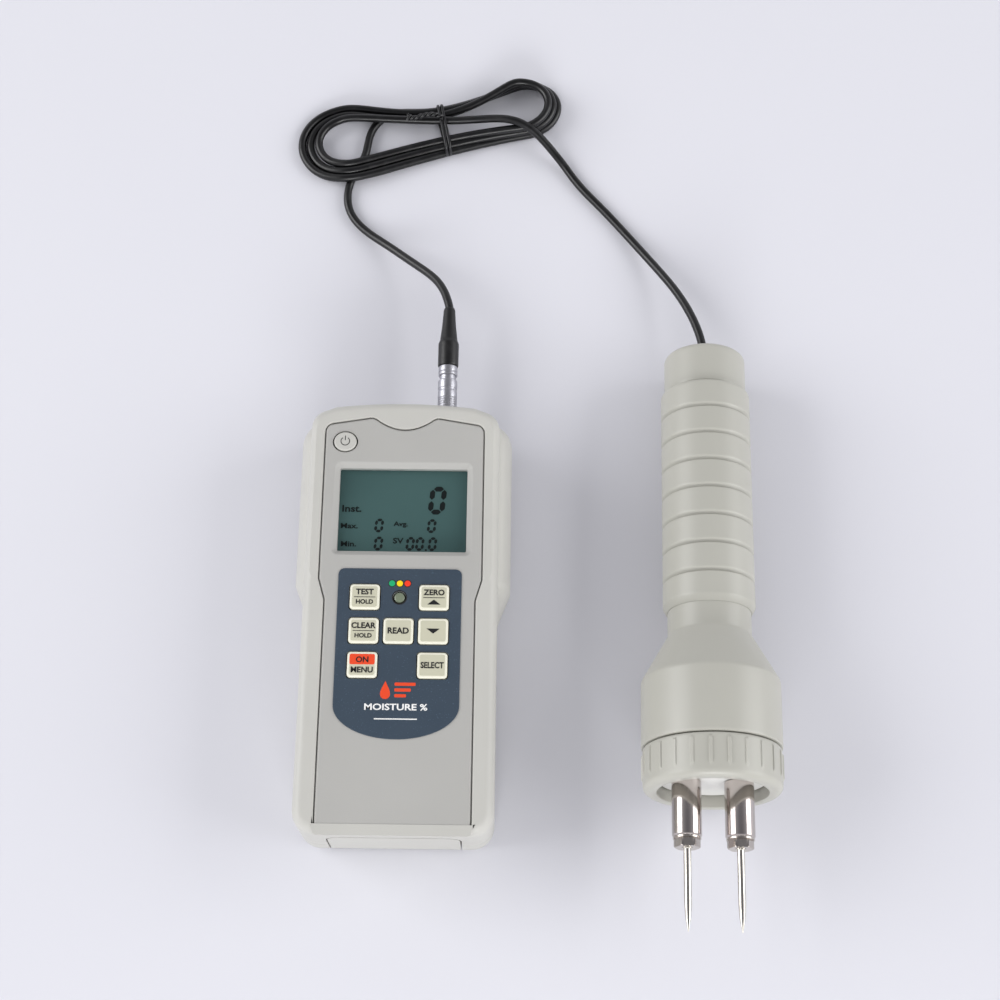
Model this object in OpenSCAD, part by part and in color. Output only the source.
// Handheld grain moisture meter with a two-pin probe on a flexible lead.
// Millimetres, +Z up. The meter and the probe both lie on their backs on a table:
// the display faces +Z, the lead leaves towards +Y and the pins point towards -Y.

/* [Meter case] */
// Width across the side grips
case_w = 68.5; // [67:0.25:70]
// Width of the case below the side grips
waist_w = 60.4; // [60:0.2:61]
// Length of the case
case_l = 139; // [138.6:0.1:139.4]
// Height of the case, back to front
case_h = 30.4; // [30.2:0.1:30.6]
// Wall thickness of the shells
wall = 2.2; // [2:0.1:2.4]
// Height of the joint between the two shells
split_z = 11; // [10.6:0.1:11.4]

/* [Face] */
// Width of the upper part of the face plate
plate_w = 50.4; // [50:0.2:51]
// Width of the lower part of the face plate
plate_low_w = 46.4; // [46:0.2:47]
// Width of the display window
window_w = 40.4; // [39:0.2:41]
// Height of the display window
window_l = 27.7; // [26.7:0.1:28]
// Width of the printed label
label_w = 38.3; // [37:0.1:39]

/* [Keys] */
// Width of a key cap
key_w = 9.2; // [9:0.1:9.3]
// Length of a key cap
key_l = 8.1; // [7.9:0.1:8.3]
// Distance between key columns
key_dx = 10.7; // [10.6:0.1:10.9]
// Distance between key rows
key_dy = 10.8; // [10.7:0.1:11]
// How far a key goes down
key_travel = 0.5; // [0.3:0.1:0.5]

/* [Plug and lead] */
// Diameter of the plug's release sleeve
sleeve_d = 6.4; // [6.2:0.1:6.6]
// Diameter of the lead
lead_d = 2.8; // [2.6:0.1:3]

/* [Probe] */
// Radius of the grip
grip_r = 14.5; // [14.3:0.1:14.7]
// Radius of the probe's head
head_r = 21.5; // [21.2:0.1:21.8]
// Distance between the two pins
pin_gap = 15.9; // [15:0.1:17]
// Radius of a pin
pin_r = 1.15; // [1:0.05:1.15]
// Nose-up lean of the probe as it lies, degrees
lean = 4.05; // [4:0.05:4.1]

/* [Hidden] */
$fn = 48;

// Where the meter lies: its long axis is this far left, its bottom end this far down.
meter_x = -41.8;
meter_y = -68;
// Where the probe's tail lies, and its small turn about +Z.
tail = [56.4, 94, 13.5];
probe_yaw = -0.9;

gap = 0.3;
plate_top = case_h - 0.1;
plate_t = 1.6;
ledge_z = plate_top - plate_t - 0.1;
deck_z = ledge_z - 1.4;
board_top = 18.6;
board_t = 1.6;
row_y = [72.9, 72.9 - key_dy, 72.9 - 2 * key_dy];
window_y = 102.25;
bevel = 1.6;
power_at = [-18.9, 124.6];
led_at = [0, 72.9];
post_x = 25.6;
post_y = [12, 130];
bay_w = 43;
board_screw_at = [[-22.5, 62], [22.5, 62], [0, 125]];
cell_x = [-15.9, -5.3, 5.3, 15.9];
cell_z = 9.1;
cover_w = 40;
cover_end = 57.7;
tab_h = 23;
plug_x = 12.7;
plug_z = 15.5;

grooves = 7;
groove_first = 24.1;
groove_pitch = 9.51;
grip_end = 90.6;
neck_r = 13.1;
spigot_r = 18.9;
ring_r = 21.1;
head_end = 134.4;
ring_start = 134.8;
ring_end = 147.9;
plate_s = 140.2;
shank_r = 1.6;
electrode_r = 4.5;
electrode_end = 161.5;
pin_tip = 189.3;

lead_r = lead_d / 2;
// Route of the lead from the plug's boot to the hank, along the table at the end.
boot_tip = [meter_x + plug_x, meter_y + 179.2, plug_z];
route_meter = [boot_tip, [-30, 116, 15], [-32.5, 122, 13.2], [-36.5, 127, 10.6], [-42, 132, 7.8],
    [-47.5, 137.5, 5], [-53, 142.5, 3], [-58.5, 146.5, 1.8], [-62.5, 150.5, 1.5], [-65.5, 154.5, 1.5],
    [-66.7, 159, 1.5], [-66.8, 163, 1.5], [-66.5, 167, 1.5]];
// Route of the lead from the probe's tail to the hank.
route_probe = [tail, [56.3, 99, 13], [55, 106, 12.2], [52, 114.5, 10.2], [48.5, 122.5, 7.6],
    [44, 130, 5.2], [39, 137.5, 3.2], [34, 144.5, 1.9], [29, 151, 1.5], [24, 157, 1.5],
    [19.5, 162, 1.5], [14, 168, 1.5], [8.5, 174, 1.5], [4, 180, 1.5], [0, 186, 1.5]];
hank_left = [-68, 183];
hank_tie = [-33, 187.7];
hank_right = [-3, 198];
hank_h = 8;

// ---- helpers

// Points on an arc about c from angle a to angle b, in n steps.
function arc(c, r, a, b, n) =
    [for (i = [0:n]) c + r * [cos(a + (b - a) * i / n), sin(a + (b - a) * i / n)]];

// A rectangle centred on c, w wide and l long, with corner radius r.
function rounded(c, w, l, r) = concat(
    arc(c + [w / 2 - r, r - l / 2], r, -90, 0, 6), arc(c + [w / 2 - r, l / 2 - r], r, 0, 90, 6),
    arc(c + [r - w / 2, l / 2 - r], r, 90, 180, 6), arc(c + [r - w / 2, r - l / 2], r, 180, 270, 6));

// Mirror a right-hand half outline, given from the bottom up, to the left.
function both_sides(half) =
    concat(half, [for (i = [len(half) - 1:-1:0]) [-half[i][0], half[i][1]]]);

// The bowed top edge, from half-width w in to the centre line.
top_r = 183;
function top_arc(w, top) = arc([0, top - top_r], top_r, 90 - asin(w / top_r), 89, 8);

// Outline of the case without its side grips, moved in by i.
function spine(i) = both_sides(concat(
    arc([waist_w / 2 - 7, 7], 7 - i, -90, 0, 8),
    arc([waist_w / 2 - 6, case_l - 8.5], 6 - i, 0, 76, 6),
    top_arc(waist_w / 2 - 8, case_l - i)));

// Outline of the case's wide upper part, moved in by i.
function grips(i) = both_sides(concat(
    [[waist_w / 2 - i, 70.5], [case_w / 2 - i, 81]],
    arc([case_w / 2 - 8, case_l - 10], 8 - i, 0, 72, 8),
    top_arc(waist_w / 2 - 6, case_l - i)));

module slab(outline, z0, z1) {
    translate([0, 0, z0]) linear_extrude(z1 - z0) polygon(outline);
}

module on_meter() {
    translate([meter_x, meter_y, 0]) children();
}

// Local z runs towards +Y along the plug's axis, from the case's bottom end.
module on_plug() {
    on_meter() translate([plug_x, 0, plug_z]) rotate([-90, 0, 0]) children();
}

// Local z runs along the probe from its tail to the pins.
module on_probe() {
    translate(tail) rotate([0, 0, probe_yaw]) rotate([90 - lean, 0, 0]) children();
}

module ring(r_out, r_in, z0, z1) {
    translate([0, 0, z0]) difference() {
        cylinder(h = z1 - z0, r = r_out);
        translate([0, 0, -1]) cylinder(h = z1 - z0 + 2, r = r_in);
    }
}

module rod(r, z0, z1) {
    translate([0, 0, z0]) cylinder(h = z1 - z0, r = r);
}

function unit(v) = v / norm(v);

// A round tube of radius r swept along the points p, with n sides.
module swept_tube(p, r, n) {
    last = len(p) - 1;
    along = [for (i = [0:last]) unit(p[min(i + 1, last)] - p[max(i - 1, 0)])];
    side = [for (t = along) unit(cross(t, [0, 0, 1]))];
    points = [for (i = [0:last]) for (k = [0:n - 1])
        p[i] + r * (cos(360 * k / n) * side[i] + sin(360 * k / n) * cross(side[i], along[i]))];
    walls = [for (i = [0:last - 1]) for (k = [0:n - 1])
        [i * n + k, (i + 1) * n + k, (i + 1) * n + (k + 1) % n, i * n + (k + 1) % n]];
    start = [for (k = [0:n - 1]) k];
    end = [for (k = [n - 1:-1:0]) last * n + k];
    polyhedron(points, concat(walls, [start, end]));
}

// ---- meter case

module front_outer() {
    hull() {
        slab(spine(0), split_z, 26.6);
        slab(spine(0.9), split_z, 29.2);
        slab(spine(2.6), split_z, case_h);
    }
    hull() {
        slab(grips(0), split_z, 14);
        slab(grips(2), split_z, 20.5);
        slab(grips(3.6), split_z, 22);
    }
}

module rear_outer() {
    hull() {
        slab(spine(2.6), 0, split_z);
        slab(spine(0.9), 1.2, split_z);
        slab(spine(0), 3.6, split_z);
    }
    hull() {
        slab(grips(3.6), 3, split_z);
        slab(grips(0), 7, split_z);
    }
}

// Room for the battery cover: its plate at the back and its tab at the end.
module cover_room(grow, depth) {
    translate([-cover_w / 2 - grow, -5, -1]) cube([cover_w + 2 * grow, 5 + cover_end + grow, depth + 1]);
    rotate([90, 0, 0]) translate([0, 0, -1.8 - grow])
        linear_extrude(7) polygon(rounded([0, 0], cover_w + 2 * grow, 2 * (tab_h + grow), 4));
}

module case_bores(r, z0, z1) {
    for (x = [-post_x, post_x]) for (y = post_y) translate([x, y, 0]) rod(r, z0, z1);
}

module key_room(grow, z0, z1) {
    for (k = [[-1, 0], [1, 0], [-1, 1], [0, 1], [1, 1], [-1, 2], [1, 2]])
        slab(rounded([k[0] * key_dx, row_y[k[1]]], key_w + 2 * grow, key_l + 2 * grow, 1.2), z0, z1);
}

module led_room(r, z0, z1) {
    translate([led_at[0], led_at[1], 0]) rod(r, z0, z1);
}

// The power button is a little wider than it is long.
function power_outline(grow) =
    [for (a = [0:10:350]) power_at + [(3.6 + grow) * cos(a), (3.2 + grow) * sin(a)]];

// Face plate outline grown by g: jogged sides, bowed top with a thumb scoop, softly cut bottom.
function plate_outline(g) = both_sides(concat(
    arc([plate_low_w / 2 - 1, 1.3], 1 + g, -90, 0, 4),
    [[plate_low_w / 2 + g, 72.2], [plate_w / 2 + g, 79]],
    arc([plate_w / 2 - 2.5, 128.3], 2.5 + g, 0, 82, 5),
    [[10.5, 132.9 + g]],
    [for (i = [0:5]) let(x = 9.2 - 1.8 * i) [x, 128.8 + g + 0.042 * x * x]]));

module front_shell() {
    color("gainsboro") on_meter() difference() {
        union() {
            difference() {
                front_outer();
                slab(spine(wall), split_z - 1, deck_z);
                slab(grips(wall), split_z - 1, 17.5);
            }
            translate([-24, 1.8, 16.3]) cube([48, 1.8, deck_z - 16]);
            case_bores(2.9, split_z + 0.3, deck_z + 0.5);
            for (p = board_screw_at) translate([p[0], p[1], 0]) rod(2.4, board_top, deck_z + 0.5);
        }
        slab(plate_outline(0.35), ledge_z, case_h + 1);
        slab(rounded([0, window_y], 46.8, 34.3, 0.8), deck_z - 1, case_h);
        key_room(gap, deck_z - 1, case_h);
        led_room(2.1, deck_z - 1, case_h);
        slab(power_outline(gap), deck_z - 1, case_h);
        case_bores(1.3, split_z - 1, 24);
        for (p = board_screw_at) translate([p[0], p[1], 0]) rod(1, board_top - 1, 25);
        translate([plug_x, case_l - 9, plug_z]) rotate([-90, 0, 0]) rod(3.7, 0, 12);
        cover_room(gap, 0);
    }
}

module rear_shell() {
    color("gainsboro") on_meter() difference() {
        union() {
            difference() {
                rear_outer();
                slab(spine(wall), wall, split_z + 1);
                slab(grips(wall), 6.5, split_z + 1);
            }
            translate([-bay_w / 2 - 0.9, 2.3, 1]) cube([bay_w + 1.8, 56.3, 14.9]);
            case_bores(3.2, 1, split_z);
        }
        translate([-bay_w / 2, 4.4, 2]) cube([bay_w, 52.8, 12.5]);
        translate([-bay_w / 2, -1, wall]) cube([bay_w, 8, 1.4]);
        case_bores(1.6, -1, split_z + 1);
        case_bores(2.6, -1, 6);
        cover_room(gap, wall);
    }
}

module face_plate() {
    color("silver") on_meter() difference() {
        union() {
            slab(plate_outline(0), plate_top - plate_t, plate_top);
            slab(rounded([0, window_y], 46, 33.5, 0.8), deck_z, plate_top - 1);
        }
        hull() {
            slab(rounded([0, window_y], window_w, window_l, 0.5), plate_top - 1.7, plate_top);
            slab(rounded([0, window_y], window_w + 2 * bevel, window_l + 2 * bevel, 0.8), plate_top, 31);
        }
        slab(rounded([0, window_y], window_w, window_l, 0.5), deck_z - 1, plate_top);
        slab(rounded([0, window_y], 43.8, 31.1, 0.5), deck_z - 1, deck_z + 1.1);
        key_room(gap, deck_z, case_h + 1);
        led_room(2, deck_z, case_h + 1);
        slab(power_outline(gap), deck_z, case_h + 1);
    }
}

module window_lens() {
    color("lightcyan") on_meter()
        slab(rounded([0, window_y], 43.4, 30.7, 0.5), deck_z, deck_z + 1.1);
}

// The printed label: square at the top, a wide bow at the bottom.
label_outline = both_sides(concat(
    [for (a = [0:10:90]) [label_w / 2 * sin(a), 38.8 - 10.4 * cos(a)]],
    arc([label_w / 2 - 2, 80.2], 2, 0, 90, 5)));

module keypad_label() {
    color("steelblue") on_meter() difference() {
        slab(label_outline, plate_top, plate_top + 0.25);
        key_room(gap, plate_top - 1, case_h + 1);
        led_room(2, plate_top - 1, case_h + 1);
    }
}

// ---- inside the meter

module lcd_panel() {
    color("darkslategray") on_meter() slab(rounded([0, window_y], 46, 33, 0.5), 24.3, 26.9);
}

module lcd_holder() {
    color("white") on_meter() difference() {
        slab(rounded([0, window_y], 48, 35, 1), board_top, 24.2);
        for (s = [-1, 1]) translate([-22.4, window_y + s * 15 - 1.3, board_top - 1]) cube([44.8, 2.6, 8]);
    }
}

module zebra_strips() {
    color("pink") on_meter() for (s = [-1, 1])
        translate([-22, window_y + s * 15 - 1, board_top]) cube([44, 2, 24.3 - board_top]);
}

module main_board() {
    color("darkgreen") on_meter() difference() {
        slab([[-26.6, 8], [26.6, 8], [26.6, 120], [5, 120], [5, 130], [-26.6, 130]],
            board_top - board_t, board_top);
        case_bores(3.6, 0, 40);
        for (p = board_screw_at) translate([p[0], p[1], 0]) rod(1.2, 0, 40);
    }
}

module board_chips() {
    color("dimgray") on_meter() {
        for (c = [[-8, 96, 14], [12, 98, 9], [12, 82, 7], [-14, 76, 8]])
            translate([c[0] - c[2] / 2, c[1] - c[2] / 2, board_top - board_t - 1.6]) cube([c[2], c[2], 1.6]);
        translate([16, 108, 0]) rod(4.5, board_top - board_t - 4, board_top - board_t);
    }
}

switch_at = concat([for (k = [[-1, 0], [1, 0], [-1, 1], [0, 1], [1, 1], [-1, 2], [1, 2]])
    [k[0] * key_dx, row_y[k[1]]]], [power_at]);

module key_switches() {
    color("black") on_meter() for (p = switch_at) {
        translate([p[0] - 3, p[1] - 3, board_top]) cube([6, 6, 3.3]);
        translate([p[0], p[1], 0]) rod(1.6, board_top + 3.3, 22.3);
    }
}

module status_led() {
    color("honeydew") on_meter() translate([led_at[0], led_at[1], 0]) {
        rod(1.9, board_top, board_top + 1);
        rod(1.5, board_top + 1, 25.5);
        translate([0, 0, 25.5]) sphere(r = 1.5);
    }
}

module led_lens() {
    color("olivedrab") on_meter() translate([led_at[0], led_at[1], 0]) rod(1.7, deck_z + 0.2, plate_top + 0.2);
}

// One key: cap, retaining flange under the deck and a stem over its switch.
module key_at(col, row) {
    c = [col * key_dx, row_y[row]];
    color("wheat") on_meter() {
        slab(rounded(c, key_w, key_l, 1), deck_z - gap - 1.2, plate_top + 0.8);
        slab(rounded(c, 10, 9.6, 1), deck_z - gap - 1.2, deck_z - gap);
        translate([c[0], c[1], 0]) rod(1.7, 22.6 + key_travel, deck_z - gap);
    }
}

module key_measure() { key_at(-1, 0); }
module key_zero() { key_at(1, 0); }
module key_delete() { key_at(-1, 1); }
module key_read() { key_at(0, 1); }
module key_down() { key_at(1, 1); }
module key_menu() { key_at(-1, 2); }
module key_select() { key_at(1, 2); }

module power_button() {
    color("gainsboro") on_meter() {
        slab(power_outline(0), deck_z - gap - 1.2, plate_top + 0.5);
        slab(power_outline(1), deck_z - gap - 1.2, deck_z - gap);
        translate([power_at[0], power_at[1], 0]) rod(1.7, 22.6 + key_travel, deck_z - gap);
    }
}

module board_screws() {
    color("silver") on_meter() for (p = board_screw_at) translate([p[0], p[1], 0]) {
        rod(2, board_top - board_t - 1.4, board_top - board_t);
        rod(0.95, board_top - board_t, 24);
    }
}

module case_screws() {
    color("silver") on_meter() {
        case_bores(2.4, 3.8, 6);
        case_bores(1.25, 6, 20);
    }
}

// ---- battery bay

module battery_cover() {
    color("gainsboro") on_meter() {
        intersection() {
            union() {
                rear_outer();
                front_outer();
            }
            cover_room(0, 1.9);
        }
        translate([0.4 - bay_w / 2, 2, 2.5]) cube([bay_w - 0.8, cover_end - 2.6, 0.9]);
        translate([-19, 0.6, 1]) cube([38, cover_end - 1.6, 2]);
    }
}

module battery_cells() {
    color("goldenrod") on_meter() for (i = [0:3]) translate([cell_x[i], 0, cell_z]) {
        turn = i % 2;
        translate([0, turn ? 8.9 : 52.7, 0]) rotate([turn ? -90 : 90, 0, 0]) {
            rod(5.2, 0, 42.8);
            rod(1.9, 42.8, 43.8);
        }
    }
}

module battery_springs() {
    color("silver") on_meter() for (i = [0:3]) translate([cell_x[i], 0, cell_z]) {
        translate([0, i % 2 ? 5 : 52.8, 0]) rotate([-90, 0, 0]) ring(3.4, 2.6, 0, 3.8);
    }
}

module battery_contacts() {
    color("silver") on_meter() {
        for (i = [0:3]) translate([cell_x[i] - 4.4, 4.4, cell_z - 4]) cube([8.8, 0.5, 8]);
        for (i = [0:3]) translate([cell_x[i] - 4.4, 56.7, cell_z - 4]) cube([8.8, 0.5, 8]);
    }
}

// ---- socket, plug and lead

module socket_shell() {
    color("silver") on_plug() {
        ring(3.5, 2.55, 126, case_l - 0.8);
        rod(3.5, 122, 126);
        for (a = [0:90:270]) rotate([0, 0, a]) translate([1.4, 0, 0]) rod(0.35, 126, 129.5);
        for (x = [-1.6, 1.6]) translate([x, 0, 0]) rod(0.4, 118.5, 122);
    }
}

module socket_nut() {
    color("silver") on_plug() difference() {
        translate([0, 0, 133]) cylinder(h = 2.4, r = 5.2, $fn = 6);
        translate([0, 0, 132]) cylinder(h = 5, r = 3.55);
    }
}

module plug_body() {
    color("silver") on_plug() {
        rod(2.45, 130.5, case_l + 0.4);
        rod(sleeve_d / 2 - 0.5, case_l + 0.4, 154.1);
    }
}

module plug_sleeve() {
    color("lightgray") on_plug() ring(sleeve_d / 2, sleeve_d / 2 - 0.45, case_l + 0.8, 152.5);
}

module collet_nut() {
    color("silver") on_plug() ring(sleeve_d / 2 - 0.05, 1.5, 154.1, 157.5);
}

module strain_relief() {
    color("black") on_plug() difference() {
        rotate_extrude() polygon([[0, 157.5], [3.2, 157.5], [3.42, 158], [3.42, 166.2], [2.9, 167.4],
            [2.2, 174], [1.9, 178.6], [1.6, 179.2], [0, 179.2]]);
        translate([0, 0, 157]) cylinder(h = 10, r = 1.5);
    }
}

module lead_to_meter() {
    color("black") swept_tube(route_meter, lead_r, 8);
}

module lead_to_probe() {
    color("black") swept_tube(route_probe, lead_r, 8);
}

module lead_hank() {
    color("black") linear_extrude(hank_h) {
        hull() {
            translate(hank_left) circle(r = 16);
            translate(hank_tie) circle(r = 8.5);
        }
        hull() {
            translate(hank_tie) circle(r = 8.5);
            translate(hank_right) circle(r = 12);
        }
    }
}

module twist_tie() {
    color("black") translate([hank_tie[0], hank_tie[1], 0]) {
        translate([-1, -10.2, hank_h]) cube([2, 20.4, 0.8]);
        for (y = [-10.2, 9.4]) translate([-1, y, 4]) cube([2, 0.8, 4]);
        translate([-12, 2, hank_h]) cube([11, 2, 1]);
    }
}

// ---- probe

module tail_cap() {
    color("gainsboro") on_probe() rotate_extrude() polygon(concat(
        [[2.3, 0]], arc([11.8, 1.5], 1.5, -90, 0, 4),
        [[13.3, 13.9], [10.4, 13.9], [10.4, 22], [8.4, 22], [8.4, 4], [2.3, 4]]));
}

module cable_grommet() {
    color("black") on_probe() ring(2.25, 1.45, 0, 9);
}

module inner_cable() {
    color("black") on_probe() {
        rod(1.4, 0, 60);
        for (s = [-1, 1]) hull() {
            translate([s * 0.6, 0, 59]) rod(0.6, 0, 1);
            translate([s * 6.5, 3.6, 133]) rod(0.6, 0, 2);
        }
    }
}

// Grip profile: each segment ends in a bevel, then a step back up.
grip_outer = concat([[grip_r - 0.6, 14.2], [grip_r, 14.9]],
    [for (i = [0:grooves - 1]) for (q = [[grip_r, -1.3], [grip_r - 0.9, -0.1], [grip_r, 0]])
        [q[0], groove_first + i * groove_pitch + q[1]]],
    [[grip_r, 88.6], [neck_r + 0.2, grip_end]]);

module probe_grip() {
    color("gainsboro") on_probe() rotate_extrude()
        polygon(concat(grip_outer, [[10.6, grip_end], [10.6, 14.2]]));
}

// The head's tail spigot sits in the grip; its front spigot carries the ring nut.
module probe_head() {
    color("gainsboro") on_probe() rotate_extrude() polygon([[neck_r, grip_end], [neck_r, 98.4],
        [head_r, 113.4], [head_r, head_end], [spigot_r, head_end], [spigot_r, plate_s],
        [16.8, plate_s], [16.8, 132], [18.6, 130], [18.6, 115.5], [8.6, 100], [8.6, 80],
        [10.5, 80], [10.5, grip_end]]);
}

module pin_plate() {
    color("white") on_probe() difference() {
        union() {
            rod(18.5, plate_s, plate_s + 2.4);
            rod(16.2, plate_s + 2.4, plate_s + 3.9);
        }
        for (x = [-pin_gap / 2, pin_gap / 2]) translate([x, 0, 0]) rod(2.1, plate_s - 1, plate_s + 5);
    }
}

module slip_washer() {
    color("silver") on_probe() ring(18.8, 17, plate_s + 2.7, plate_s + 3.3);
}

module ring_nut() {
    color("gainsboro") on_probe() {
        rotate_extrude() polygon(concat([[19.3, ring_start], [ring_r - 0.3, ring_start], [ring_r, 135.1]],
            arc([ring_r - 2, ring_end - 2], 2, 0, 90, 6),
            [[17.2, ring_end], [16.8, ring_end - 0.4], [16.8, plate_s + 3.6], [19.3, plate_s + 3.6]]));
        for (a = [7.5:15:359]) rotate([0, 0, a]) translate([ring_r - 0.5, -0.45, 136.2]) cube([0.8, 0.9, 7.4]);
    }
}

module electrode(side) {
    color("lightgray") on_probe() translate([side * pin_gap / 2, 0, 0]) difference() {
        union() {
            rod(2, plate_s - 5.6, plate_s + 3.9);
            rod(electrode_r, plate_s + 3.9, electrode_end);
        }
        rod(shank_r + 0.05, 152, electrode_end + 1);
    }
}

module electrode_left() { electrode(-1); }
module electrode_right() { electrode(1); }

module stud_nuts() {
    color("gold") on_probe() for (s = [-1, 1]) translate([s * pin_gap / 2, 0, plate_s - 3.2]) difference() {
        cylinder(h = 2.6, r = 3.9, $fn = 6);
        translate([0, 0, -1]) cylinder(h = 5, r = 2.05);
    }
}

module solder_lugs() {
    color("gold") on_probe() for (s = [-1, 1]) translate([s * pin_gap / 2, 0, plate_s - 0.6]) difference() {
        union() {
            cylinder(h = 0.6, r = 3.4);
            translate([-1.2, 0, 0]) cube([2.4, 7, 0.6]);
        }
        translate([0, 0, -1]) cylinder(h = 3, r = 2.05);
    }
}

module pin_collar(side) {
    color("lightgray") on_probe() translate([side * pin_gap / 2, 0, electrode_end]) difference() {
        union() {
            cylinder(h = 0.5, r = 4.25);
            translate([0, 0, 0.5]) rotate([0, 0, 30]) cylinder(h = 2.6, r = 4, $fn = 6);
        }
        translate([0, 0, -1]) cylinder(h = 6, r = shank_r + 0.05);
    }
}

module pin_collar_left() { pin_collar(-1); }
module pin_collar_right() { pin_collar(1); }

module pin(side) {
    color("gainsboro") on_probe() translate([side * pin_gap / 2, 0, 0]) rotate_extrude()
        polygon([[0, 153], [shank_r, 153], [shank_r, 164.8], [pin_r, 164.8], [pin_r, 181],
            [0.85, 185.5], [0.15, pin_tip], [0, pin_tip]]);
}

module pin_left() { pin(-1); }
module pin_right() { pin(1); }

front_shell();
rear_shell();
face_plate();
window_lens();
keypad_label();
lcd_panel();
lcd_holder();
zebra_strips();
main_board();
board_chips();
key_switches();
status_led();
led_lens();
key_measure();
key_zero();
key_delete();
key_read();
key_down();
key_menu();
key_select();
power_button();
board_screws();
case_screws();
battery_cover();
battery_cells();
battery_springs();
battery_contacts();
socket_shell();
socket_nut();
plug_body();
plug_sleeve();
collet_nut();
strain_relief();
lead_to_meter();
lead_hank();
lead_to_probe();
twist_tie();
tail_cap();
cable_grommet();
inner_cable();
probe_grip();
probe_head();
pin_plate();
slip_washer();
ring_nut();
electrode_left();
electrode_right();
stud_nuts();
solder_lugs();
pin_collar_left();
pin_collar_right();
pin_left();
pin_right();
